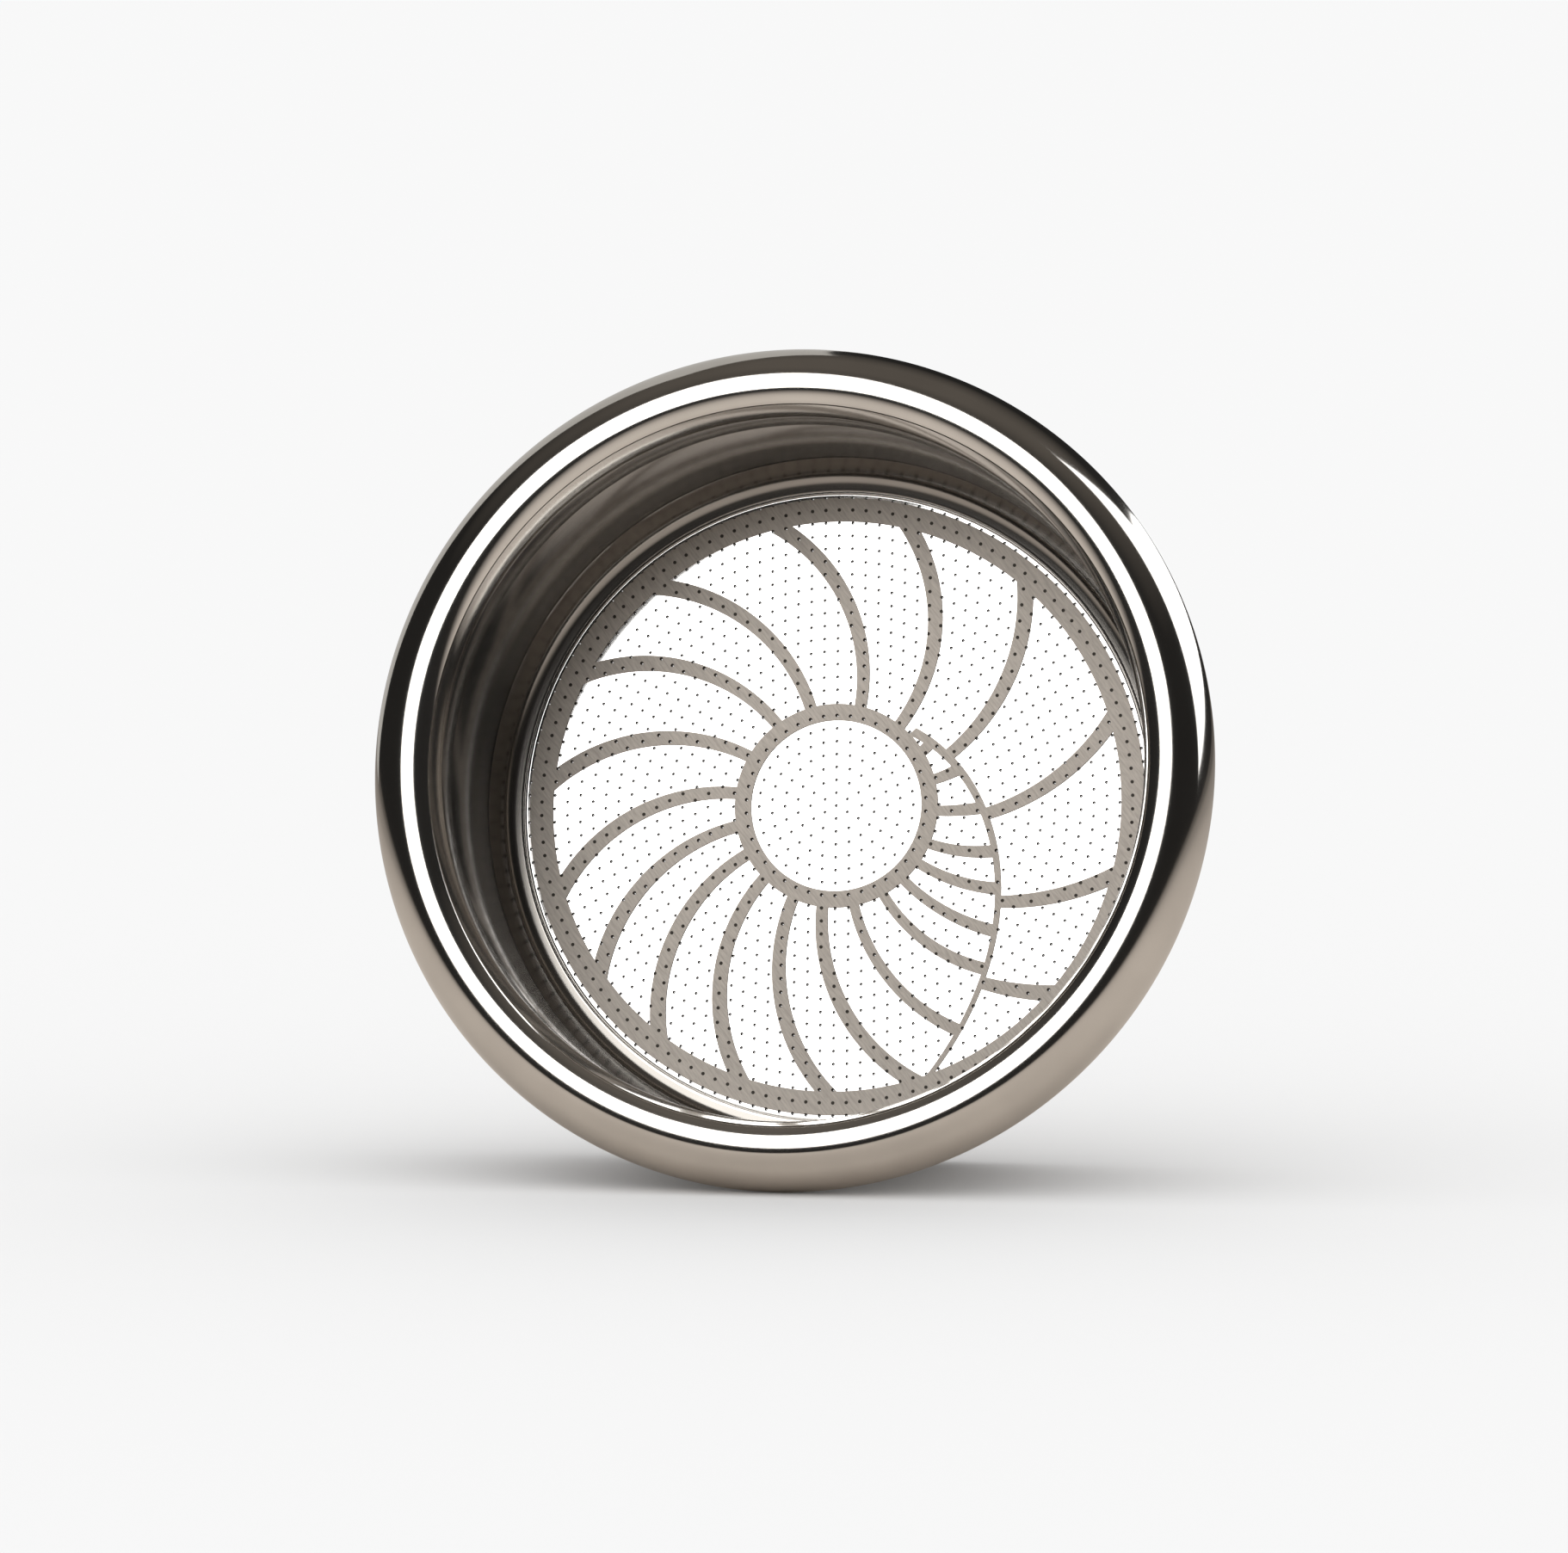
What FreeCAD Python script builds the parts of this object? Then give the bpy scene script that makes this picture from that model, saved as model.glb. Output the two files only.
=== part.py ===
"""Filter basket for a 58 mm espresso portafilter, as separate solids in one frame.

Frame: millimetres, +Z up along the basket's axis towards the mouth. The origin is on the axis, at the
plane that the base stands on. Angles go anticlockwise from +X, seen from the mouth.
"""

import FreeCAD, Part
import math
import os

# Overall sizes
HEIGHT = 26.6
FLANGE_R = 35.0
WALL_INNER_R = 29.25
WALL_THICKNESS = 0.8
WALL_OUTER_R = WALL_INNER_R + WALL_THICKNESS

# Rim: a flat crest, a convex roll outside it and a stepped lead-in inside it
CREST_OUTER_R = 32.05
CREST_INNER_R = 31.3
ROLL_DROP = 4.0
LIP_RADIUS = 0.5
SEAT_FILLET = 0.5
COLLAR_DROP = 7.0
CHAMFER_TOP_R = 30.72
CHAMFER_TOP_DROP = 0.75
CHAMFER_FOOT_R = 29.85
CHAMFER_FOOT_DROP = 1.65
THROAT_R = 29.45
THROAT_DROP = 2.75
WALL_TOP_DROP = 3.1

# Corner ring, and the ledge in it that the filter plate is welded to
CORNER_RING_TOP = 4.0
CORNER_OUTER_RADIUS = 1.6
CORNER_INNER_RADIUS = 2.5
LEDGE_INNER_R = 26.42
LEDGE_THICKNESS = 0.35

# Filter plate and its perforation: ring k holds 6k holes, and every other ring starts half a step round.
# The holes are 0.28 mm across, drawn as octagons of the same area, which keeps the sheet light enough to use.
PLATE_R = WALL_INNER_R - CORNER_INNER_RADIUS
PLATE_THICKNESS = 0.3
PLATE_TOP = LEDGE_THICKNESS + PLATE_THICKNESS
HOLE_CORNER_R = 0.1475
HOLE_SIDES = 8
HOLE_PITCH = 1.094
HOLE_RINGS = 24

# Raised lands on the plate: band, hub ring, spiral and ribs
LAND_HEIGHT = 0.15
BAND_OUTER_R = 26.2
BAND_INNER_R = 24.2
HUB_OUTER_R = 8.65
HUB_INNER_R = 7.25
PATTERN_TURN = -135.0

# The spiral leaves the hub ring, opens clockwise and runs into the band
SPIRAL_START_R = 8.95
SPIRAL_START_ANGLE = 44.0
SPIRAL_END_ANGLE = -73.0
# Its radius grows by this share for each degree, and the share itself grows
SPIRAL_GROWTH = 0.00613
SPIRAL_QUICKENING = 0.0000227
SPIRAL_START_WIDTH = 0.85
SPIRAL_END_WIDTH = 0.45
SPIRAL_POINTS = 13

# Rib widths at the inner end, halfway and at the outer end
LONG_RIB_WIDTHS = (1.0, 1.22, 1.38)
SHORT_RIB_WIDTHS = (0.85, 0.95, 1.1)
# How much of a rib's turn grows evenly with its radius; the rest grows with the square
HUB_RIB_EVENNESS = 0.44
# How far a rib runs on into the lands at its two ends before it is trimmed to them
RIB_OVERRUN = 0.7

# Inner and outer end angle of each rib, before the whole pattern's turn
HUB_TO_BAND = (
    (77.0, 102.0), (105.5, 129.0), (126.5, 151.5), (150.5, 174.0), (172.5, 196.0),
    (191.5, 214.5), (208.5, 232.0), (225.5, 250.5), (245.5, 268.5), (263.0, 286.0),
)
HUB_TO_SPIRAL = (
    (-79.0, -61.0), (-61.5, -47.5), (-47.5, -38.5), (-35.0, -27.5),
    (-22.5, -16.5), (-3.5, -1.5), (14.5, 16.0), (32.0, 33.5),
)
# These start at the spiral, and each has its own evenness
SPIRAL_TO_BAND = (
    (52.0, 75.5, 0.35), (23.5, 49.0, 0.8), (-4.0, 16.5, 0.9), (-31.0, -15.0, 1.0), (-50.5, -41.5, 1.0),
)

AXIS = FreeCAD.Vector(0, 0, 1)
ORIGIN = FreeCAD.Vector(0, 0, 0)


def profile_point(radius, height):
    return FreeCAD.Vector(radius, 0, height)


def line(start, end):
    return Part.LineSegment(start, end).toShape()


def arc(start, middle, end):
    return Part.Arc(start, middle, end).toShape()


def quarter_turn(center, radius, start_angle):
    """A quarter circle in the profile plane, anticlockwise from start_angle in degrees."""
    def at(angle):
        turn = math.radians(angle)
        return profile_point(center[0] + radius * math.cos(turn), center[1] + radius * math.sin(turn))
    return arc(at(start_angle), at(start_angle + 45), at(start_angle + 90))


def revolve(edges):
    wire = Part.Wire(Part.__sortEdges__(edges))
    return Part.Face(wire).revolve(ORIGIN, AXIS, 360)


def make_rim_flange():
    """The turned rim: crest, outer roll, flat seat underneath, collar and lead-in."""
    roll_foot = HEIGHT - ROLL_DROP
    seat = roll_foot - LIP_RADIUS
    collar_foot = HEIGHT - COLLAR_DROP
    crest_outer = profile_point(CREST_OUTER_R, HEIGHT)
    crest_inner = profile_point(CREST_INNER_R, HEIGHT)
    roll = Part.Ellipse(crest_outer, profile_point(FLANGE_R, roll_foot), profile_point(CREST_OUTER_R, roll_foot))
    roll_edge = Part.ArcOfEllipse(roll, 0, math.pi / 2).toShape()
    lip = quarter_turn((FLANGE_R - LIP_RADIUS, roll_foot), LIP_RADIUS, -90)
    seat_start = profile_point(FLANGE_R - LIP_RADIUS, seat)
    seat_end = profile_point(WALL_OUTER_R + SEAT_FILLET, seat)
    fillet = quarter_turn((WALL_OUTER_R + SEAT_FILLET, seat - SEAT_FILLET), SEAT_FILLET, 90)
    collar_top = profile_point(WALL_OUTER_R, seat - SEAT_FILLET)
    collar_outer = profile_point(WALL_OUTER_R, collar_foot)
    collar_inner = profile_point(WALL_INNER_R, collar_foot)
    wall_top = profile_point(WALL_INNER_R, HEIGHT - WALL_TOP_DROP)
    throat = profile_point(THROAT_R, HEIGHT - THROAT_DROP)
    chamfer_foot = profile_point(CHAMFER_FOOT_R, HEIGHT - CHAMFER_FOOT_DROP)
    chamfer_top = profile_point(CHAMFER_TOP_R, HEIGHT - CHAMFER_TOP_DROP)
    corner_bulge = 0.3 * (CREST_INNER_R - CHAMFER_TOP_R)
    inner_round = profile_point(CHAMFER_TOP_R + corner_bulge, HEIGHT - corner_bulge)
    return revolve([
        roll_edge, lip, line(seat_start, seat_end), fillet, line(collar_top, collar_outer),
        line(collar_outer, collar_inner), line(collar_inner, wall_top), line(wall_top, throat),
        line(throat, chamfer_foot), line(chamfer_foot, chamfer_top),
        arc(chamfer_top, inner_round, crest_inner), line(crest_inner, crest_outer),
    ])


def make_side_wall():
    """The thin straight tube between the rim's collar and the corner ring."""
    foot = CORNER_RING_TOP
    top = HEIGHT - COLLAR_DROP
    corners = [
        profile_point(WALL_INNER_R, foot), profile_point(WALL_OUTER_R, foot),
        profile_point(WALL_OUTER_R, top), profile_point(WALL_INNER_R, top),
    ]
    return revolve([line(corners[i], corners[(i + 1) % 4]) for i in range(4)])


def make_corner_ring():
    """The rounded corner at the base, with the rabbet and ledge for the filter plate."""
    outer_top = profile_point(WALL_OUTER_R, CORNER_RING_TOP)
    outer_foot = profile_point(WALL_OUTER_R, CORNER_OUTER_RADIUS)
    outer_corner = quarter_turn((WALL_OUTER_R - CORNER_OUTER_RADIUS, CORNER_OUTER_RADIUS), CORNER_OUTER_RADIUS, -90)
    base_outer = profile_point(WALL_OUTER_R - CORNER_OUTER_RADIUS, 0)
    base_inner = profile_point(LEDGE_INNER_R, 0)
    ledge_inner = profile_point(LEDGE_INNER_R, LEDGE_THICKNESS)
    ledge_outer = profile_point(PLATE_R, LEDGE_THICKNESS)
    rabbet_top = profile_point(PLATE_R, PLATE_TOP)
    inner_corner = quarter_turn((PLATE_R, PLATE_TOP + CORNER_INNER_RADIUS), CORNER_INNER_RADIUS, -90)
    corner_top = profile_point(WALL_INNER_R, PLATE_TOP + CORNER_INNER_RADIUS)
    inner_top = profile_point(WALL_INNER_R, CORNER_RING_TOP)
    return revolve([
        line(outer_top, outer_foot), outer_corner, line(base_outer, base_inner),
        line(base_inner, ledge_inner), line(ledge_inner, ledge_outer), line(ledge_outer, rabbet_top),
        inner_corner, line(corner_top, inner_top), line(inner_top, outer_top),
    ])


def polar(radius, angle, height):
    """A point at that radius and pattern angle in degrees, after the pattern's turn."""
    turn = math.radians(angle + PATTERN_TURN)
    return FreeCAD.Vector(radius * math.cos(turn), radius * math.sin(turn), height)


def hole_centers(height):
    centers = [FreeCAD.Vector(0, 0, height)]
    for ring in range(1, HOLE_RINGS + 1):
        step = 60.0 / ring
        first = step / 2 if ring % 2 else 0.0
        centers += [polar(ring * HOLE_PITCH, first + step * i, height) for i in range(6 * ring)]
    return centers


def circle_wire(center, radius):
    return Part.Wire(Part.Circle(center, AXIS, radius).toShape())


def hole_wire(center):
    corners = []
    for i in range(HOLE_SIDES + 1):
        turn = 2 * math.pi * (i % HOLE_SIDES + 0.5) / HOLE_SIDES
        reach = FreeCAD.Vector(math.cos(turn), math.sin(turn), 0) * HOLE_CORNER_R
        corners.append(center + reach)
    return Part.makePolygon(corners)


def pierced_face(rim, holes):
    """A face inside the rim wire, with a hole at each of the other wires."""
    return Part.Face([rim] + [hole.reversed() for hole in holes])


def make_filter_plate():
    """The thin perforated disc, extruded from one face that already has every hole."""
    rim = circle_wire(FreeCAD.Vector(0, 0, LEDGE_THICKNESS), PLATE_R)
    holes = [hole_wire(center) for center in hole_centers(LEDGE_THICKNESS)]
    return pierced_face(rim, holes).extrude(AXIS * PLATE_THICKNESS)


def ring_face(inner_r, outer_r):
    center = FreeCAD.Vector(0, 0, PLATE_TOP)
    return pierced_face(circle_wire(center, outer_r), [circle_wire(center, inner_r)])


def spiral_radius(angle):
    turned = SPIRAL_START_ANGLE - angle
    return SPIRAL_START_R * math.exp(SPIRAL_GROWTH * turned + SPIRAL_QUICKENING * turned ** 2)


def spiral_face():
    """The strip along the spiral, which narrows as it opens."""
    inner, outer = [], []
    for i in range(SPIRAL_POINTS):
        part = i / (SPIRAL_POINTS - 1)
        angle = SPIRAL_START_ANGLE + (SPIRAL_END_ANGLE - SPIRAL_START_ANGLE) * part
        half = (SPIRAL_START_WIDTH + (SPIRAL_END_WIDTH - SPIRAL_START_WIDTH) * part) / 2
        radius = spiral_radius(angle)
        inner.append(polar(radius - half, angle, PLATE_TOP))
        outer.append(polar(radius + half, angle, PLATE_TOP))
    edges = []
    for points in (inner, outer):
        curve = Part.BSplineCurve()
        curve.interpolate(points)
        edges.append(curve.toShape())
    edges.append(line(inner[0], outer[0]))
    edges.append(line(inner[-1], outer[-1]))
    return Part.Face(Part.Wire(Part.__sortEdges__(edges)))


def rib_face(inner_end, outer_end, evenness, widths):
    """A curved strip between two arcs. Each end is (radius, angle)."""
    span_r = outer_end[0] - inner_end[0]
    span_angle = outer_end[1] - inner_end[1]
    overrun = RIB_OVERRUN / span_r

    def center_at(t):
        turn = evenness * t + (1 - evenness) * t * t
        return polar(inner_end[0] + span_r * t, inner_end[1] + span_angle * turn, PLATE_TOP)

    left, right = [], []
    for t, width in zip((-overrun, 0.5, 1 + overrun), widths):
        along = (center_at(t + 0.01) - center_at(t - 0.01)).normalize()
        across = AXIS.cross(along) * (width / 2)
        left.append(center_at(t) + across)
        right.append(center_at(t) - across)
    edges = [arc(*left), arc(*right), line(left[0], right[0]), line(left[2], right[2])]
    return Part.Face(Part.Wire(Part.__sortEdges__(edges)))


def largest_face(shape):
    return max(shape.Faces, key=lambda face: face.Area)


def raise_land(face, centers):
    """Extrudes a land from its face, with the perforation carried on through it."""
    near = face.BoundBox
    near.enlarge(HOLE_CORNER_R)
    holes = [Part.Face(hole_wire(center)) for center in centers if near.isInside(center)]
    holes = [hole for hole in holes if hole.distToShape(face)[0] <= 0]
    return largest_face(face.cut(holes)).extrude(AXIS * LAND_HEIGHT)


def rib_plan():
    """Every rib's node name with its end points, evenness and widths."""
    chamber, whorl = [], []
    for inner, outer in HUB_TO_BAND:
        chamber.append(((HUB_OUTER_R, inner), (BAND_INNER_R, outer), HUB_RIB_EVENNESS, LONG_RIB_WIDTHS))
    for inner, outer, evenness in SPIRAL_TO_BAND:
        start = (spiral_radius(inner), inner)
        chamber.append((start, (BAND_INNER_R, outer), evenness, LONG_RIB_WIDTHS))
    for inner, outer in HUB_TO_SPIRAL:
        end = (spiral_radius(outer), outer)
        whorl.append(((HUB_OUTER_R, inner), end, HUB_RIB_EVENNESS, SHORT_RIB_WIDTHS))
    named = {"chamber_rib_%02d" % number: rib for number, rib in enumerate(chamber, 1)}
    named.update({"whorl_rib_%02d" % number: rib for number, rib in enumerate(whorl, 1)})
    return named


def make_lands():
    """The band, hub ring, spiral and ribs, each trimmed to the lands that it meets."""
    centers = hole_centers(PLATE_TOP)
    band = ring_face(BAND_INNER_R, BAND_OUTER_R)
    hub = ring_face(HUB_INNER_R, HUB_OUTER_R)
    spiral = largest_face(spiral_face().cut([band, hub]))
    lands = {"outer_band": band, "hub_ring": hub, "spiral_rib": spiral}
    for name, rib in rib_plan().items():
        lands[name] = largest_face(rib_face(*rib).cut([band, hub, spiral]))
    return {name: raise_land(face, centers) for name, face in lands.items()}


def main():
    nodes = {
        "rim_flange": make_rim_flange(),
        "side_wall": make_side_wall(),
        "corner_ring": make_corner_ring(),
        "filter_plate": make_filter_plate(),
    }
    nodes.update(make_lands())
    os.makedirs("parts", exist_ok=True)
    for name, shape in nodes.items():
        solid = shape if shape.ShapeType == "Solid" else shape.Solids[0]
        solid.exportStep("parts/%s.step" % name)
        print(name, solid.isValid(), len(shape.Solids), round(solid.Volume, 3))


main()
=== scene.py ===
"""Steel filter basket for an espresso portafilter, lying on its side on a pale studio floor.

Metres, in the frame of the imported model: +Z runs up the basket's axis towards its mouth, and the
origin is on the axis at the plane of the base.
"""

import logging
import math
from dataclasses import dataclass
from enum import Enum

import bmesh
import bpy
from mathutils import Matrix, Vector


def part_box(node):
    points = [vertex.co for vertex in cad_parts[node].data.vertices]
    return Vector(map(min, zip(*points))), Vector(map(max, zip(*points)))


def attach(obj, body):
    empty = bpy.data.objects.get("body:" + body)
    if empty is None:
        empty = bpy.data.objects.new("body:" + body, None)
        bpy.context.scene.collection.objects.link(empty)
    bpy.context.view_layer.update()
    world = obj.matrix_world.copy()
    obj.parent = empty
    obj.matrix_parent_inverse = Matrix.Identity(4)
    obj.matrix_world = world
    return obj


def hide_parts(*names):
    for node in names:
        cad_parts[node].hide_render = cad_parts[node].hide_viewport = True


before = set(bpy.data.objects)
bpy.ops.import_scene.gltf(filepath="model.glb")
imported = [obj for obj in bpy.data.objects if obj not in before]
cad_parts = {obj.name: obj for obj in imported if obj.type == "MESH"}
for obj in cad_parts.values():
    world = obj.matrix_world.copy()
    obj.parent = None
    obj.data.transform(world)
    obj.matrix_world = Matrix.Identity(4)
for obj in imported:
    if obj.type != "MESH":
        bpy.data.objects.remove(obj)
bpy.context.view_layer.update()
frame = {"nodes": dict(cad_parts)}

LOG = logging.getLogger("filter_basket")
MM = 0.001
BODY = "root"
AXIS = Vector((0.0, 0.0, 1.0))
WALL_THICKNESS = 0.8
SHARP_ANGLE = math.radians(20.0)
LATHE_STEPS = 256
SEAM_DISTANCE = 0.002 * MM
MERGE_DISTANCE = 0.001 * MM


class Slot(Enum):
    """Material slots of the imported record."""

    POLISHED = "polished_rim"
    TURNED = "turned_wall"
    MIRROR = "mirror_plate"
    ETCHED = "etched_land"


class Turn(Enum):
    """Which way an arc of an outline runs, seen with the radius to the right and +Z up."""

    ANTICLOCKWISE = 1.0
    CLOCKWISE = -1.0


class NodeBoard:
    """A node tree that is filled in a few short calls."""

    def __init__(self, tree: bpy.types.NodeTree) -> None:
        """Clear the tree.

        Args:
            tree: The node tree of a material or a world.
        """
        self.tree = tree
        self.tree.nodes.clear()

    def add(self, kind: str, inputs: dict | None = None, **settings: object) -> bpy.types.Node:
        """Add a node.

        Args:
            kind: Blender's name for the node type.
            inputs: Socket name or number to a value, or to the output socket that feeds it.
            settings: Properties of the node itself.

        Returns:
            The new node.
        """
        node = self.tree.nodes.new(kind)
        for name, value in settings.items():
            setattr(node, name, value)
        for name, value in (inputs or {}).items():
            self.feed(node.inputs[name], value)
        return node

    def feed(self, socket: bpy.types.NodeSocket, value: object) -> None:
        """Set a socket, or link it where the value is another socket."""
        if isinstance(value, bpy.types.NodeSocket):
            self.tree.links.new(value, socket)
        else:
            socket.default_value = value

    def math(self, operation: str, first: object, second: object = 0.0) -> bpy.types.NodeSocket:
        """Join two numbers with a math node and return its output."""
        return self.add("ShaderNodeMath", {0: first, 1: second}, operation=operation).outputs[0]

    def length(self, first: object, second: object) -> bpy.types.NodeSocket:
        """Return the length of the flat vector with these two parts."""
        square = self.math("ADD", self.math("MULTIPLY", first, first), self.math("MULTIPLY", second, second))
        return self.math("SQRT", square)

    def ramp(self, value: object, stops: tuple[tuple[float, float], ...]) -> bpy.types.NodeSocket:
        """Map a number through a grey ramp.

        Args:
            value: The number, or the socket that gives it.
            stops: Pairs of position and grey level.

        Returns:
            The ramp's output.
        """
        node = self.add("ShaderNodeValToRGB", {"Fac": value})
        marks = node.color_ramp.elements
        while len(marks) < len(stops):
            marks.new(0.5)
        for mark, (place, level) in zip(marks, stops):
            mark.position = place
            mark.color = (level, level, level, 1.0)
        return node.outputs["Color"]

    def blend(self, share: object, low: object, high: object) -> bpy.types.NodeSocket:
        """Mix two colours by a share from 0 to 1 and return the result."""
        node = self.add("ShaderNodeMix", data_type="RGBA")
        self.feed(node.inputs["Factor"], share)
        self.feed(node.inputs[6], low)
        self.feed(node.inputs[7], high)
        return node.outputs[2]


    def steel(self, colour: object, texture: object, roughness: float, spread: float, depth: float) -> None:
        """Finish a material as bare metal.

        Args:
            colour: The metal's colour.
            texture: A number around 0.5 that drives both the roughness and the relief.
            roughness: The middle of the roughness.
            spread: How much the roughness changes with the texture.
            depth: Height of the relief, in millimetres.
        """
        varied = self.math("ADD", self.math("MULTIPLY", texture, spread), roughness - 0.5 * spread)
        bump = self.add("ShaderNodeBump", {"Height": texture, "Distance": depth * MM, "Strength": 1.0})
        shader = self.add("ShaderNodeBsdfPrincipled", {
            "Base Color": colour, "Metallic": 1.0, "Roughness": varied, "Normal": bump.outputs["Normal"],
        })
        self.surface(shader.outputs["BSDF"])

    def surface(self, shader: bpy.types.NodeSocket) -> None:
        """Make a shader the material's surface."""
        output = self.add("ShaderNodeOutputMaterial")
        self.feed(output.inputs["Surface"], shader)


def new_material(name: str) -> tuple[bpy.types.Material, NodeBoard]:
    """Make a material.

    Args:
        name: The material's name.

    Returns:
        The material, and the board for its nodes.
    """
    material = bpy.data.materials.new(name)
    material.use_nodes = True
    return material, NodeBoard(material.node_tree)


def new_object(name: str, mesh: bmesh.types.BMesh) -> bpy.types.Object:
    """Turn a finished mesh into an object at the origin, and link it.

    Args:
        name: Name of the object and its mesh.
        mesh: The mesh, which is freed.

    Returns:
        The new object.
    """
    data = bpy.data.meshes.new(name)
    mesh.to_mesh(data)
    mesh.free()
    made = bpy.data.objects.new(name, data)
    bpy.context.scene.collection.objects.link(made)
    return made


def grey(level: float) -> tuple[float, float, float, float]:
    """Return an opaque grey."""
    return (level, level, level, 1.0)


@dataclass(frozen=True)
class LatheSteel:
    """Stainless steel with the fine rings that a lathe or a polishing wheel leaves round the axis."""

    name: str
    tint: tuple[float, float, float, float]
    roughness: float
    roughness_spread: float
    ring_scale: float
    ring_depth: float
    smear: float = 0.35
    climb: float = 1.37
    patch_scale: float = 160.0
    patch_shade: float = 0.93

    def build(self) -> bpy.types.Material:
        """Make the material.

        Returns:
            The new material.
        """
        material, board = new_material(self.name)
        cloud = board.add("ShaderNodeTexNoise", {"Scale": self.patch_scale, "Detail": 3.0})
        board.feed(cloud.inputs["Vector"], board.add("ShaderNodeTexCoord").outputs["Object"])
        patch = board.ramp(cloud.outputs["Fac"], ((0.35, 0.0), (0.65, 1.0)))
        dark = tuple(self.patch_shade * part for part in self.tint[:3]) + (1.0,)
        colour = board.blend(patch, dark, self.tint)
        board.steel(colour, self.rings(board), self.roughness, self.roughness_spread, self.ring_depth)
        return material

    def rings(self, board: NodeBoard) -> bpy.types.NodeSocket:
        """Noise that is drawn out round the axis.

        Args:
            board: The material's nodes.

        Returns:
            A number from about 0.3 to 0.7 that changes quickly across the rings and slowly along them.
        """
        place = board.add("ShaderNodeTexCoord").outputs["Object"]
        parts = board.add("ShaderNodeSeparateXYZ", {"Vector": place})
        x, y, z = (parts.outputs[name] for name in "XYZ")
        radius = board.length(x, y)
        heading_x = board.math("MULTIPLY", board.math("DIVIDE", x, radius), self.smear * MM)
        heading_y = board.math("MULTIPLY", board.math("DIVIDE", y, radius), self.smear * MM)
        across = board.math("ADD", radius, board.math("MULTIPLY", z, self.climb))
        spot = board.add("ShaderNodeCombineXYZ", {"X": across, "Y": heading_x, "Z": heading_y})
        noise = board.add("ShaderNodeTexNoise", {
            "Vector": spot.outputs["Vector"], "Scale": self.ring_scale, "Detail": 4.0, "Roughness": 0.6,
        })
        return noise.outputs["Fac"]


@dataclass(frozen=True)
class Perforation:
    """The hole pattern: ring k holds 6k holes, and every other ring starts half a step round."""

    pitch: float = 1.094
    rings: int = 24
    hole_r: float = 0.15
    pattern_turn: float = -135.0

    def centre(self, ring: int, heading: float) -> Vector:
        """Find the middle of the hole that is nearest to a heading in a ring.

        Args:
            ring: The ring's number, from 0 at the axis.
            heading: Angle about the axis.

        Returns:
            The middle of the hole, in metres.
        """
        if ring == 0:
            return Vector((0.0, 0.0))
        step = math.tau / (6 * ring)
        start = 0.5 * step * (ring % 2) + math.radians(self.pattern_turn)
        angle = start + step * round((heading - start) / step)
        return ring * self.pitch * MM * Vector((math.cos(angle), math.sin(angle)))

    def mask(self, board: NodeBoard) -> bpy.types.NodeSocket:
        """Mark the holes in a material.

        Args:
            board: The material's nodes.

        Returns:
            A number that is 1 inside a hole and 0 elsewhere.
        """
        place = board.add("ShaderNodeTexCoord").outputs["Object"]
        parts = board.add("ShaderNodeSeparateXYZ", {"Vector": place})
        x, y = parts.outputs["X"], parts.outputs["Y"]
        radius = board.length(x, y)
        ring = board.math("ROUND", board.math("DIVIDE", radius, self.pitch * MM))
        step = board.math("DIVIDE", math.tau / 6.0, ring)
        half_step = board.math("MULTIPLY", step, board.math("MULTIPLY", board.math("MODULO", ring, 2.0), 0.5))
        heading = board.math("SUBTRACT", board.math("ARCTAN2", y, x), math.radians(self.pattern_turn))
        count = board.math("DIVIDE", board.math("SUBTRACT", heading, half_step), step)
        share = board.math("SUBTRACT", count, board.math("ROUND", count))
        along = board.math("MULTIPLY", board.math("MULTIPLY", share, step), radius)
        across = board.math("SUBTRACT", radius, board.math("MULTIPLY", ring, self.pitch * MM))
        return board.math("LESS_THAN", board.length(along, across), self.hole_r * MM)


@dataclass(frozen=True)
class GrainedSteel:
    """Rolled sheet, with a straight grain in one direction across the axis."""

    name: str
    tint: tuple[float, float, float, float]
    dark_tint: tuple[float, float, float, float]
    roughness: float
    roughness_spread: float
    grain_angle: float
    grain_scale: float
    grain_stretch: float
    grain_depth: float
    holes: Perforation | None = None
    # Painted shade: near black that is painted into every hole of the pattern
    hole_shade_tint: tuple[float, float, float, float] = (0.05, 0.045, 0.04, 1.0)

    def build(self) -> bpy.types.Material:
        """Make the material.

        Returns:
            The new material.
        """
        material, board = new_material(self.name)
        place = board.add("ShaderNodeTexCoord").outputs["Object"]
        turned = board.add("ShaderNodeMapping", {"Vector": place})
        turned.inputs["Rotation"].default_value = (0.0, 0.0, math.radians(self.grain_angle))
        drawn = board.add("ShaderNodeMapping", {"Vector": turned.outputs["Vector"]})
        drawn.inputs["Scale"].default_value = (1.0 / self.grain_stretch, 1.0, 1.0)
        noise = board.add("ShaderNodeTexNoise", {
            "Vector": drawn.outputs["Vector"], "Scale": self.grain_scale, "Detail": 5.0, "Roughness": 0.65,
        })
        grain = noise.outputs["Fac"]
        share = board.ramp(grain, ((0.36, 0.0), (0.64, 1.0)))
        colour = board.blend(share, self.dark_tint, self.tint)
        if self.holes:
            # Painted shade: the holes are painted near black
            colour = board.blend(self.holes.mask(board), colour, self.hole_shade_tint)
        board.steel(colour, grain, self.roughness, self.roughness_spread, self.grain_depth)
        return material


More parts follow.
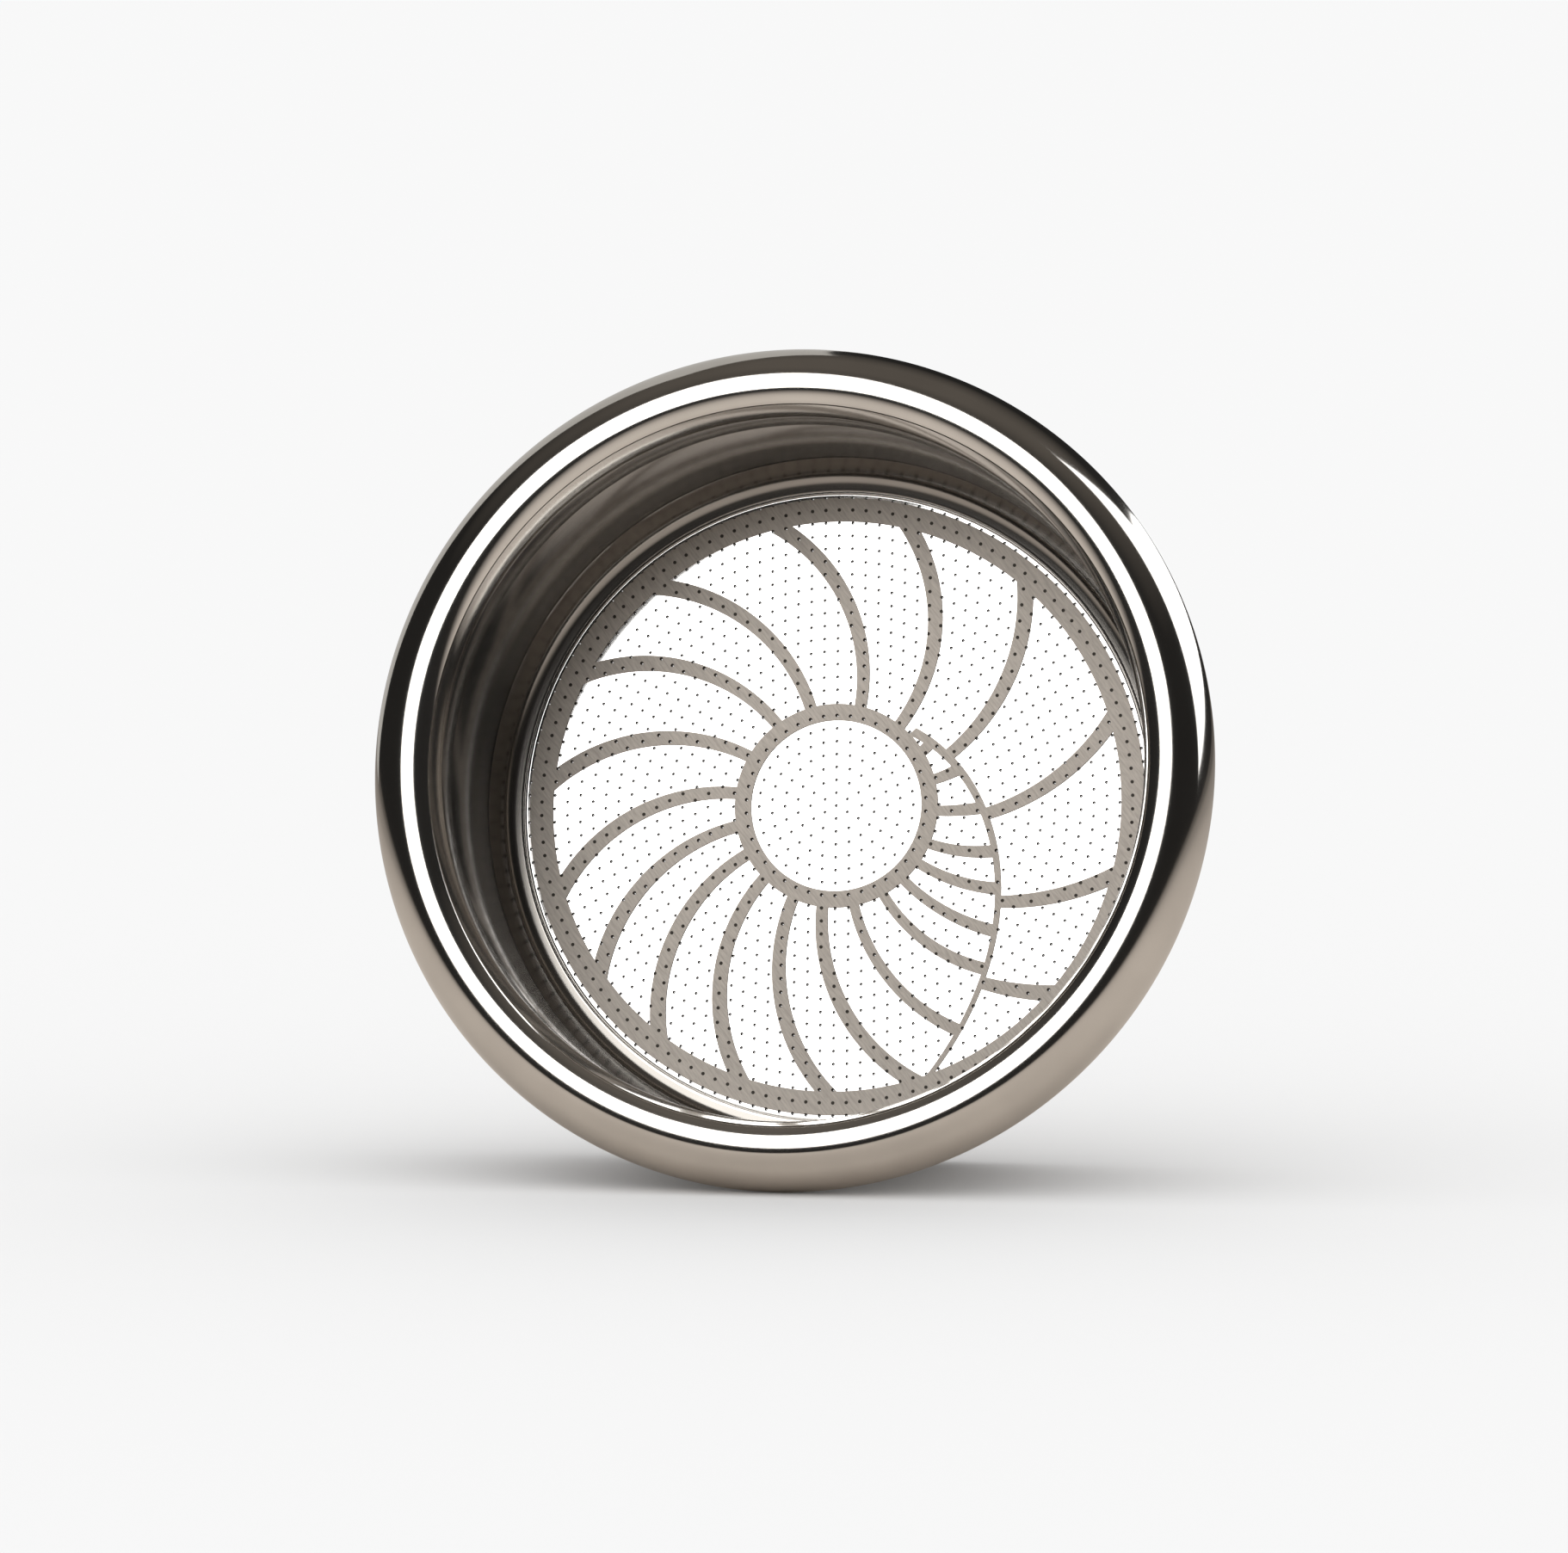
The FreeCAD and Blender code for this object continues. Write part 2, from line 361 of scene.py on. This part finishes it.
POLISHED_STEEL = LatheSteel("polished steel", (0.66, 0.635, 0.60, 1.0), 0.10, 0.05, 9000.0, 0.0004)
SATIN_STEEL = LatheSteel("satin turned steel", (0.76, 0.74, 0.71, 1.0), 0.11, 0.05, 7000.0, 0.0005)
DRAWN_STEEL = LatheSteel("drawn wall steel", (0.37, 0.352, 0.33, 1.0), 0.18, 0.06, 2600.0, 0.0006)
MIRROR_STEEL = GrainedSteel(
    "mirror plate steel", (0.97, 0.97, 0.97, 1.0), (0.93, 0.93, 0.93, 1.0),
    0.06, 0.02, 38.0, 2400.0, 9.0, 0.0001,
)
# Hole walls of the plate: the dark tint is painted shade inside the holes, and the roughness is the etched
# walls' own
HOLE_SHADE_STEEL = GrainedSteel(
    "hole wall steel with painted shade", (0.22, 0.21, 0.20, 1.0), (0.16, 0.15, 0.14, 1.0),
    0.40, 0.10, 38.0, 2400.0, 9.0, 0.0001,
)
# The lands carry the hole pattern, and their holes are painted near black as painted shade
ETCHED_STEEL = GrainedSteel(
    "etched land steel", (0.50, 0.46, 0.42, 1.0), (0.36, 0.33, 0.30, 1.0),
    0.48, 0.16, 8.0, 5200.0, 8.0, 0.0040, Perforation(),
)


class Outline:
    """A closed outline in the XZ plane that is drawn stroke by stroke and then turned round the axis."""

    def __init__(self, radius: float, height: float) -> None:
        """Start at a point.

        Args:
            radius: Distance from the axis, in millimetres.
            height: Height above the base, in millimetres.
        """
        self.mesh = bmesh.new()
        self.tip = self.mesh.verts.new((radius * MM, 0.0, height * MM))
        self.first = self.tip

    def line(self, radius: float, height: float) -> None:
        """Draw a straight stroke to a point, in millimetres."""
        made = bmesh.ops.extrude_vert_indiv(self.mesh, verts=[self.tip])
        self.tip = made["verts"][0]
        self.tip.co = (radius * MM, 0.0, height * MM)

    def arc(
        self, radius: float, height: float, degrees: float, turn: Turn, steps: int
    ) -> list[bmesh.types.BMVert]:
        """Draw an arc round a centre.

        Args:
            radius: The centre's distance from the axis, in millimetres.
            height: The centre's height, in millimetres.
            degrees: How far the arc goes.
            turn: Which way it goes.
            steps: Number of straight pieces in it.

        Returns:
            The arc's new points.
        """
        before = set(self.mesh.verts)
        centre = Vector((radius * MM, 0.0, height * MM))
        made = bmesh.ops.spin(
            self.mesh, geom=[self.tip], cent=centre, axis=(0.0, 1.0, 0.0),
            angle=-turn.value * math.radians(degrees), steps=steps, use_duplicate=False,
        )
        self.tip = next(part for part in made["geom_last"] if isinstance(part, bmesh.types.BMVert))
        return [vert for vert in self.mesh.verts if vert not in before]

    def close(self) -> None:
        """Join the last point to the first."""
        self.mesh.edges.new((self.tip, self.first))

    def lathe(self, name: str, steps: int, edge_break: float) -> bpy.types.Object:
        """Turn the outline round the axis into a closed ring.

        Args:
            name: Name of the new object.
            steps: Number of facets round the ring.
            edge_break: Width of the small round on sharp edges, in millimetres.

        Returns:
            The new object, at the origin.
        """
        mesh = self.mesh
        mesh.verts.index_update()
        bmesh.ops.spin(
            mesh, geom=mesh.verts[:] + mesh.edges[:], cent=(0.0, 0.0, 0.0), axis=AXIS,
            angle=math.tau, steps=steps, use_merge=True, use_duplicate=False,
        )
        bmesh.ops.remove_doubles(mesh, verts=mesh.verts, dist=SEAM_DISTANCE)
        bmesh.ops.recalc_face_normals(mesh, faces=mesh.faces)
        sharp = [edge for edge in mesh.edges if edge.calc_face_angle(0.0) > SHARP_ANGLE]
        bmesh.ops.bevel(
            mesh, geom=sharp, offset=edge_break * MM, offset_type="OFFSET", segments=3,
            profile=0.5, affect="EDGES", material=-1, clamp_overlap=True,
        )
        bmesh.ops.recalc_face_normals(mesh, faces=mesh.faces)
        for face in mesh.faces:
            face.smooth = True
        return new_object(name, mesh)


def settle(piece: bpy.types.Object, node: str) -> None:
    """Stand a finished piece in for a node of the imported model.

    Args:
        piece: The new object.
        node: The node that it replaces.
    """
    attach(piece, BODY)
    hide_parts(node)
    LOG.info("%s: %d faces, for %s", piece.name, len(piece.data.polygons), node)


@dataclass
class RimFlange:
    """The turned rim: flat crest, convex roll with a thin lip, flat seat, collar and rounded lead-in."""

    crest_outer_r: float = 31.78
    crest_inner_r: float = 31.42
    roll_drop: float = 4.0
    lip_radius: float = 0.5
    seat_fillet: float = 0.5
    upper_round: float = 2.2
    lower_round: float = 1.45
    middle_slope: float = 30.0
    foot_slope: float = 52.0
    satin_edge: float = 0.1
    throat: tuple[float, float] = (29.45, 2.75)
    wall_top_drop: float = 3.1
    edge_break: float = 0.07

    def build(self) -> bpy.types.Object:
        """Model and dress the rim.

        Returns:
            The rim.
        """
        low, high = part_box("rim_flange")
        wall_outer_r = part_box("side_wall")[1].x / MM
        wall_inner_r = wall_outer_r - WALL_THICKNESS
        piece = self.outline(high.x / MM, high.z / MM, low.z / MM, wall_outer_r, wall_inner_r)
        self.dress(piece, high.z)
        settle(piece, "rim_flange")
        return piece

    def outline(
        self, flange_r: float, top: float, foot: float, wall_outer_r: float, wall_inner_r: float
    ) -> bpy.types.Object:
        """Draw the rim's section and turn it.

        Args:
            flange_r: Radius of the lip.
            top: Height of the crest.
            foot: Height of the collar's lower end.
            wall_outer_r: Outer radius of the collar.
            wall_inner_r: Inner radius of the collar.

        Returns:
            The undressed rim.
        """
        roll_foot = top - self.roll_drop
        seat = roll_foot - self.lip_radius
        section = Outline(self.crest_inner_r, top)
        section.line(self.crest_outer_r, top)
        roll = section.arc(self.crest_outer_r, roll_foot, 90.0, Turn.CLOCKWISE, 28)
        centre = Vector((self.crest_outer_r * MM, 0.0, roll_foot * MM))
        flatten = (flange_r - self.crest_outer_r) / self.roll_drop
        bmesh.ops.scale(section.mesh, vec=(flatten, 1.0, 1.0), space=Matrix.Translation(-centre), verts=roll)
        section.arc(flange_r - self.lip_radius, roll_foot, 90.0, Turn.CLOCKWISE, 8)
        section.line(wall_outer_r + self.seat_fillet, seat)
        section.arc(wall_outer_r + self.seat_fillet, seat - self.seat_fillet, 90.0, Turn.ANTICLOCKWISE, 6)
        section.line(wall_outer_r, foot)
        section.line(wall_inner_r, foot)
        section.line(wall_inner_r, top - self.wall_top_drop)
        section.line(self.throat[0], top - self.throat[1])
        self.draw_lead_in(section, top)
        section.close()
        return section.lathe("turned_rim", LATHE_STEPS, self.edge_break)

    def draw_lead_in(self, section: Outline, top: float) -> None:
        """Draw the lead-in from its foot to the crest, in two arcs that meet at one slope.

        Args:
            section: The outline so far, which ends at the throat.
            top: Height of the crest.
        """
        upper = Vector((self.crest_inner_r, top - self.upper_round))
        lower = upper + (self.upper_round - self.lower_round) * self.rise(self.middle_slope)
        foot = lower + self.lower_round * self.rise(self.foot_slope)
        section.line(foot.x, foot.y)
        section.arc(lower.x, lower.y, self.foot_slope - self.middle_slope, Turn.CLOCKWISE, 5)
        section.arc(upper.x, upper.y, self.middle_slope, Turn.CLOCKWISE, 8)

    def rise(self, slope: float) -> Vector:
        """Return the direction that is square to a slope in degrees, upwards and towards the axis."""
        turn = math.radians(slope)
        return Vector((-math.sin(turn), math.cos(turn)))

    def dress(self, piece: bpy.types.Object, top: float) -> None:
        """Give the crest and roll a polish, the lead-in a satin cut and the collar the wall's finish.

        Args:
            piece: The rim.
            top: Height of the crest, in metres.
        """
        for finish in (POLISHED_STEEL, SATIN_STEEL, DRAWN_STEEL):
            piece.data.materials.append(finish.build())
        lead_in_foot = top - self.wall_top_drop * MM
        seat = top - (self.roll_drop + self.lip_radius) * MM
        for face in piece.data.polygons:
            radius = face.center.xy.length
            inside = radius < (self.crest_inner_r - self.satin_edge) * MM
            if inside and face.center.z > lead_in_foot:
                face.material_index = 1
            elif inside and (face.center.z < seat or radius < self.throat[0] * MM):
                face.material_index = 2


@dataclass
class SideWall:
    """The thin drawn tube between the rim's collar and the corner ring."""

    edge_break: float = 0.01

    def build(self) -> bpy.types.Object:
        """Model and dress the tube.

        Returns:
            The tube.
        """
        low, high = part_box("side_wall")
        outer_r = high.x / MM
        inner_r = outer_r - WALL_THICKNESS
        section = Outline(inner_r, low.z / MM)
        section.line(outer_r, low.z / MM)
        section.line(outer_r, high.z / MM)
        section.line(inner_r, high.z / MM)
        section.close()
        piece = section.lathe("drawn_wall", LATHE_STEPS, self.edge_break)
        piece.data.materials.append(DRAWN_STEEL.build())
        settle(piece, "side_wall")
        return piece


@dataclass
class CornerRing:
    """The rounded corner at the base: the plate's ledge, a polished strip beside the plate, then a hollow."""

    outer_radius: float = 1.6
    plate_r: float = 26.75
    edge_rise: float = 0.045
    weld_foot: tuple[float, float] = (26.95, 0.722)
    weld_head: tuple[float, float] = (27.33, 0.795)
    hollow_centre: tuple[float, float] = (27.123, 2.18)
    hollow_turn: float = 53.5
    wall_foot: float = 3.15
    ledge_inner_r: float = 26.42
    ledge_thickness: float = 0.35
    plate_thickness: float = 0.3
    edge_break: float = 0.02

    def build(self) -> bpy.types.Object:
        """Model and dress the corner.

        Returns:
            The corner ring.
        """
        low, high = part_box("corner_ring")
        outer_r = high.x / MM
        inner_r = outer_r - WALL_THICKNESS
        top = high.z / MM
        plate_top = self.ledge_thickness + self.plate_thickness + self.edge_rise
        section = Outline(outer_r, top)
        section.line(outer_r, self.outer_radius)
        section.arc(outer_r - self.outer_radius, self.outer_radius, 90.0, Turn.CLOCKWISE, 10)
        section.line(self.ledge_inner_r, low.z / MM)
        section.line(self.ledge_inner_r, self.ledge_thickness)
        section.line(self.plate_r, self.ledge_thickness)
        section.line(self.plate_r, plate_top)
        section.line(*self.weld_foot)
        section.line(*self.weld_head)
        section.arc(*self.hollow_centre, self.hollow_turn, Turn.ANTICLOCKWISE, 14)
        section.line(inner_r, self.wall_foot)
        section.line(inner_r, top)
        section.close()
        piece = section.lathe("corner_round", LATHE_STEPS, self.edge_break)
        for finish in (DRAWN_STEEL, POLISHED_STEEL):
            piece.data.materials.append(finish.build())
        for face in piece.data.polygons:
            inside = face.center.xy.length < self.weld_foot[0] * MM
            if inside and face.center.z > (plate_top - self.edge_break) * MM:
                face.material_index = 1
        settle(piece, "corner_ring")
        return piece


@dataclass
class FilterPlate:
    """The perforated plate: its holes narrow downwards and its edge is drawn up to the weld."""

    holes: Perforation = Perforation()
    foot_share: float = 0.3
    margin: float = 0.34
    edge_rise: float = 0.045

    def build(self, node: bpy.types.Object) -> bpy.types.Object:
        """Model and dress the plate.

        Args:
            node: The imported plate, with straight holes.

        Returns:
            The plate with tapered holes and a raised edge.
        """
        mesh = bmesh.new()
        mesh.from_mesh(node.data)
        bmesh.ops.remove_doubles(mesh, verts=mesh.verts, dist=MERGE_DISTANCE)
        low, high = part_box(node.name)
        middle = 0.5 * (low.z + high.z)
        hole_limit = high.x - 0.5 * self.margin * MM
        for face in mesh.faces:
            inside = face.calc_center_median().xy.length < hole_limit
            # Hole walls take the second finish, whose dark tint is painted shade
            face.material_index = 1 if inside and abs(face.normal.z) < 0.5 else 0
        for vert in mesh.verts:
            if vert.co.z < middle:
                self.narrow(vert)
        self.raise_edge(mesh, middle, high)
        piece = new_object("pierced_plate", mesh)
        for finish in (MIRROR_STEEL, HOLE_SHADE_STEEL):
            piece.data.materials.append(finish.build())
        settle(piece, node.name)
        return piece

    def raise_edge(self, mesh: bmesh.types.BMesh, middle: float, high: Vector) -> None:
        """Turn the outermost strip of the plate gently upwards.

        Args:
            mesh: The plate.
            middle: Height of the middle of the sheet, in metres.
            high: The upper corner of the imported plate's box.
        """
        strip_r = high.x - self.margin * MM
        side = [vert for vert in mesh.verts if vert.co.xy.length > 0.5 * (strip_r + high.x)]
        rim = {face for vert in side for face in vert.link_faces if abs(face.normal.z) < 0.5}
        parts = list(rim) + list({edge for face in rim for edge in face.edges})
        bmesh.ops.bisect_plane(
            mesh, geom=parts, dist=MERGE_DISTANCE, plane_co=(0.0, 0.0, middle), plane_no=AXIS
        )
        for vert in mesh.verts:
            if vert.co.xy.length < 0.5 * (strip_r + high.x):
                continue
            if vert.co.z > 0.5 * (middle + high.z):
                vert.co.xy *= strip_r / vert.co.xy.length
            elif abs(vert.co.z - middle) < 10.0 * MERGE_DISTANCE:
                vert.co.z = high.z + self.edge_rise * MM

    def narrow(self, vert: bmesh.types.BMVert) -> None:
        """Draw a point of a hole's lower edge towards the hole's middle.

        Args:
            vert: Any point of the plate's lower face.
        """
        ring = round(vert.co.xy.length / (self.holes.pitch * MM))
        centre = self.holes.centre(ring, math.atan2(vert.co.y, vert.co.x))
        offset = vert.co.xy - centre
        if ring <= self.holes.rings and offset.length < self.holes.hole_r * MM:
            vert.co.xy = centre + self.foot_share * offset


@dataclass
class EtchedLands:
    """The raised band, hub ring, spiral and ribs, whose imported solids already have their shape."""

    other_parts: tuple[str, ...] = ("rim_flange", "side_wall", "corner_ring", "filter_plate")

    def dress(self, nodes: dict[str, bpy.types.Object]) -> None:
        """Give every land the etched finish.

        Args:
            nodes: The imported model's objects by name.
        """
        finish = ETCHED_STEEL.build()
        for name, node in nodes.items():
            if name not in self.other_parts:
                node.data.materials.clear()
                node.data.materials.append(finish)
                LOG.info("%s: dressed in %s", name, finish.name)


@dataclass
class Resting:
    """How the basket lies: on its lip and its base corner, with its mouth to the front."""

    side_angle: float = 133.42
    lip_r: float = 34.5
    lip_z: float = 22.6
    lip_radius: float = 0.5
    corner_r: float = 28.45
    corner_z: float = 1.6
    corner_radius: float = 1.6

    def floor(self) -> tuple[Vector, Vector]:
        """Find the plane that touches the lip and the base corner.

        Returns:
            A point of the floor in metres, and its upward normal.
        """
        run = self.lip_r - self.corner_r
        rise = self.lip_z - self.corner_z
        span = math.hypot(run, rise)
        slope = math.atan2(rise, run) - math.acos((self.corner_radius - self.lip_radius) / span)
        side = math.radians(self.side_angle)
        outward = Vector((math.cos(side), math.sin(side), 0.0))
        down = math.cos(slope) * outward + math.sin(slope) * AXIS
        touch = self.lip_r * outward + self.lip_z * AXIS + self.lip_radius * down
        return touch * MM, -down


@dataclass
class Viewpoint:
    """The camera: almost on the basket's axis and a little above the floor."""

    tilt: float = 12.5
    heading: float = 185.0
    distance: float = 1.0
    lens: float = 279.0
    right_of_centre: float = 0.76
    above_centre: float = 0.60

    def towards(self) -> Vector:
        """Return the unit vector from the basket to the camera."""
        tilt = math.radians(self.tilt)
        heading = math.radians(self.heading)
        aside = Vector((math.cos(heading), math.sin(heading), 0.0))
        return math.sin(tilt) * aside + math.cos(tilt) * AXIS

    def place(self, up: Vector, target: Vector) -> None:
        """Add the camera and make it the scene's own.

        Args:
            up: The floor's upward normal.
            target: The middle of the rim, in metres.
        """
        back = self.towards()
        right = up.cross(back).normalized()
        upright = back.cross(right)
        data = bpy.data.cameras.new("studio_camera")
        data.lens = self.lens
        camera = bpy.data.objects.new("studio_camera", data)
        aim = target - self.right_of_centre * MM * right - self.above_centre * MM * upright
        turn = Matrix((right, upright, back)).transposed().to_4x4()
        camera.matrix_world = Matrix.Translation(aim + self.distance * back) @ turn
        bpy.context.scene.collection.objects.link(camera)
        bpy.context.scene.camera = camera
        LOG.info("camera: %.1f degrees off the axis", self.tilt)


@dataclass(frozen=True)
class Compass:
    """Directions over the floor, as seen from the basket."""

    ahead: Vector
    right: Vector
    up: Vector
    centre: Vector

    def point(self, azimuth: float, elevation: float, distance: float) -> Vector:
        """Find a place in the studio.

        Args:
            azimuth: Degrees from the camera's side towards the camera's right.
            elevation: Degrees above the floor.
            distance: Metres from the basket.

        Returns:
            The place, in metres.
        """
        turn = math.radians(azimuth)
        rise = math.radians(elevation)
        level = math.cos(turn) * self.ahead + math.sin(turn) * self.right
        return self.centre + distance * (math.cos(rise) * level + math.sin(rise) * self.up)


def ring_of_corners(
    azimuth: float, elevation: float, radius: float, count: int
) -> tuple[tuple[float, float], ...]:
    """Space corners evenly round a direction.

    Args:
        azimuth: The middle's azimuth in degrees.
        elevation: The middle's elevation in degrees.
        radius: Angle from the middle to each corner, in degrees.
        count: Number of corners.

    Returns:
        The corners' azimuths and elevations.
    """
    widen = radius / math.cos(math.radians(elevation))
    turns = [math.tau * (corner + 0.5) / count for corner in range(count)]
    return tuple((azimuth + widen * math.cos(turn), elevation + radius * math.sin(turn)) for turn in turns)


@dataclass(frozen=True)
class LightCard:
    """A glowing sheet that only the steel sees, given by the directions of its corners."""

    name: str
    corners: tuple[tuple[float, float], ...]
    distance: float
    radiance: float
    tint: tuple[float, float, float, float]

    def place(self, compass: Compass) -> None:
        """Add the sheet.

        Args:
            compass: Directions over the floor.
        """
        mesh = bmesh.new()
        mesh.faces.new([mesh.verts.new(compass.point(*corner, self.distance)) for corner in self.corners])
        bmesh.ops.triangulate(mesh, faces=mesh.faces)
        card = new_object(self.name, mesh)
        card.data.materials.append(self.material())
        card.visible_camera = False
        card.visible_diffuse = False
        card.visible_shadow = False
        LOG.info("%s: %d corners", self.name, len(self.corners))

    def material(self) -> bpy.types.Material:
        """Return an even glow."""
        material, board = new_material(self.name)
        glow = board.add("ShaderNodeEmission", {"Color": self.tint, "Strength": self.radiance})
        board.surface(glow.outputs["Emission"])
        return material


@dataclass
class Studio:
    """The floor, the surrounding room and the lights."""

    floor_size: float = 14.0
    floor_albedo: float = 0.80
    floor_level: float = 0.94
    floor_gloss: tuple[float, float, float, float] = (0.66, 0.594, 0.533, 1.0)
    # Painted falloff of light on the floor, seen only in reflections: distance from the basket in metres, and
    # how much of the floor's colour is left there
    painted_floor_falloff: tuple[tuple[float, float], ...] = ((0.0, 1.0), (0.10, 0.86), (0.35, 0.45), (1.0, 0.18))
    room_low: tuple[float, float, float, float] = (0.022, 0.021, 0.020, 1.0)
    room_high: tuple[float, float, float, float] = (0.13, 0.115, 0.10, 1.0)
    # Sine of the elevation, and how far the room has gone from low to high there
    room_rise: tuple[tuple[float, float], ...] = ((0.55, 0.0), (0.95, 1.0))
    cards: tuple[LightCard, ...] = (
        LightCard(
            "front_octabox", ring_of_corners(-25.0, 32.0, 20.0, 8), 0.9, 3.0,
            (1.0, 0.985, 0.96, 1.0),
        ),
        LightCard(
            "right_wedge", ((85.0, 6.0), (80.0, 63.0), (127.0, 33.0), (165.0, 6.0)), 0.9, 2.6,
            (1.0, 1.0, 1.0, 1.0),
        ),
        LightCard(
            "left_panel", ((-182.0, -4.0), (-180.0, 50.0), (-136.0, 60.0), (-134.0, -4.0)), 0.9, 0.56,
            (1.0, 0.975, 0.93, 1.0),
        ),
    )

    def build(self, touch: Vector, up: Vector, view: Viewpoint, target: Vector) -> None:
        """Set the floor, room and lights.

        Args:
            touch: A point of the floor, in metres.
            up: The floor's upward normal.
            view: The camera's place.
            target: What the lights face, in metres.
        """
        back = view.towards()
        right = up.cross(back).normalized()
        compass = Compass(right.cross(up), right, up, target)
        self.lay_floor(touch, compass)
        self.fill_room(up)
        for card in self.cards:
            card.place(compass)
        bpy.context.scene.view_settings.view_transform = "Standard"

    def lay_floor(self, touch: Vector, compass: Compass) -> None:
        """Add the plain floor.

        Args:
            touch: A point of the floor, in metres.
            compass: Directions over the floor.
        """
        mesh = bmesh.new()
        place = Matrix.Translation(touch) @ compass.up.to_track_quat("Z", "Y").to_matrix().to_4x4()
        bmesh.ops.create_grid(mesh, x_segments=1, y_segments=1, size=0.5 * self.floor_size, matrix=place)
        floor = new_object("studio_floor", mesh)
        floor.data.materials.append(self.floor_material(touch))
        LOG.info("floor: %.0f m across", self.floor_size)

    def floor_material(self, touch: Vector) -> bpy.types.Material:
        """Matt paper that is see-through from below, and in reflections is warmer with a painted falloff of
        light away from the basket.

        Args:
            touch: Where the basket stands, in metres.

        Returns:
            The floor's material.
        """
        material, board = new_material("floor paper")
        path = board.add("ShaderNodeLightPath")
        paper = board.add("ShaderNodeBsdfDiffuse", {"Color": grey(self.floor_albedo)})
        place = board.add("ShaderNodeNewGeometry").outputs["Position"]
        reach = board.add("ShaderNodeVectorMath", {0: place, 1: touch}, operation="DISTANCE").outputs["Value"]
        # Painted light: in reflections the floor darkens with distance from the basket
        far = board.ramp(reach, self.painted_floor_falloff)
        tone = board.blend(far, grey(0.0), self.floor_gloss)
        gloss = board.add("ShaderNodeBsdfDiffuse", {"Color": tone})
        seen = board.add("ShaderNodeMixShader", {
            "Fac": path.outputs["Is Glossy Ray"], 1: paper.outputs["BSDF"], 2: gloss.outputs["BSDF"],
        })
        underside = board.add("ShaderNodeNewGeometry").outputs["Backfacing"]
        below = board.math("MULTIPLY", underside, path.outputs["Is Camera Ray"])
        clear = board.add("ShaderNodeBsdfTransparent")
        both = board.add("ShaderNodeMixShader", {
            "Fac": below, 1: seen.outputs["Shader"], 2: clear.outputs["BSDF"],
        })
        board.surface(both.outputs["Shader"])
        return material

    def fill_room(self, up: Vector) -> None:
        """Light the paper evenly, and keep the room in the steel's reflections dark, lighter overhead.

        Args:
            up: The floor's upward normal.
        """
        world = bpy.data.worlds.new("studio_room")
        world.use_nodes = True
        board = NodeBoard(world.node_tree)
        path = board.add("ShaderNodeLightPath")
        heading = board.add("ShaderNodeTexCoord").outputs["Generated"]
        height = board.add("ShaderNodeVectorMath", {0: heading, 1: up}, operation="DOT_PRODUCT")
        overhead = board.ramp(height.outputs["Value"], self.room_rise)
        room = board.blend(overhead, self.room_low, self.room_high)
        even = grey(self.floor_level / self.floor_albedo)
        pale = board.blend(path.outputs["Is Camera Ray"], even, grey(self.floor_level))
        colour = board.blend(path.outputs["Is Glossy Ray"], pale, room)
        background = board.add("ShaderNodeBackground", {"Color": colour})
        output = board.add("ShaderNodeOutputWorld")
        board.feed(output.inputs["Surface"], background.outputs["Background"])
        world.cycles.sampling_method = "NONE"
        bpy.context.scene.world = world


def main() -> None:
    """Build the basket and its studio."""
    logging.basicConfig(level=logging.INFO, format="%(message)s")
    RimFlange().build()
    SideWall().build()
    CornerRing().build()
    FilterPlate().build(frame["nodes"]["filter_plate"])
    EtchedLands().dress(frame["nodes"])
    resting = Resting()
    touch, up = resting.floor()
    target = resting.lip_z * MM * AXIS
    view = Viewpoint()
    view.place(up, target)
    Studio().build(touch, up, view, target)


if __name__ == "__main__":
    main()
